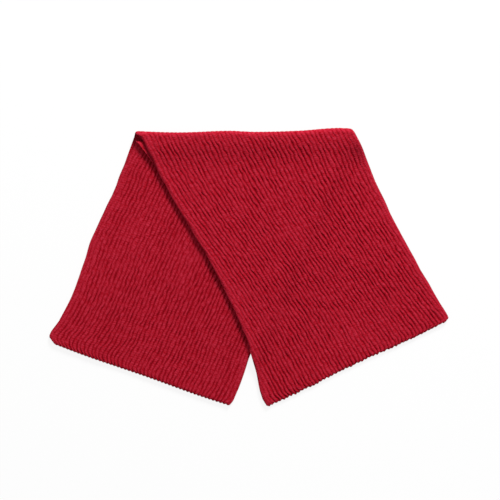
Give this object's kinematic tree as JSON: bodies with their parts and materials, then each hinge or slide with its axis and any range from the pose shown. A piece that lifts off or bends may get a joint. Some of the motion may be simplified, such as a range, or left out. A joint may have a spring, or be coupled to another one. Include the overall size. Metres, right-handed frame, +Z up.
{
  "type": "snood",
  "caption": "Rib-knit snood, an endless band of cloth pressed flat in two layers and folded in half with splayed ends.",
  "frame": {"origin": "centre of the bounding box's underside, on the table that the snood lies on", "axes": "+X across the table from the back leg's end to the front leg's end, +Y up the table towards the top fold, +Z up out of the table"},
  "size_m": [0.5654, 0.3949, 0.017],
  "materials": {
    "rib_knit": "soft dark red rib knit, matte with a slight nap"
  },
  "bodies": {
    "root": {"outer_layer": "rib_knit", "inner_layer": "rib_knit"}
  },
  "joints": []
}
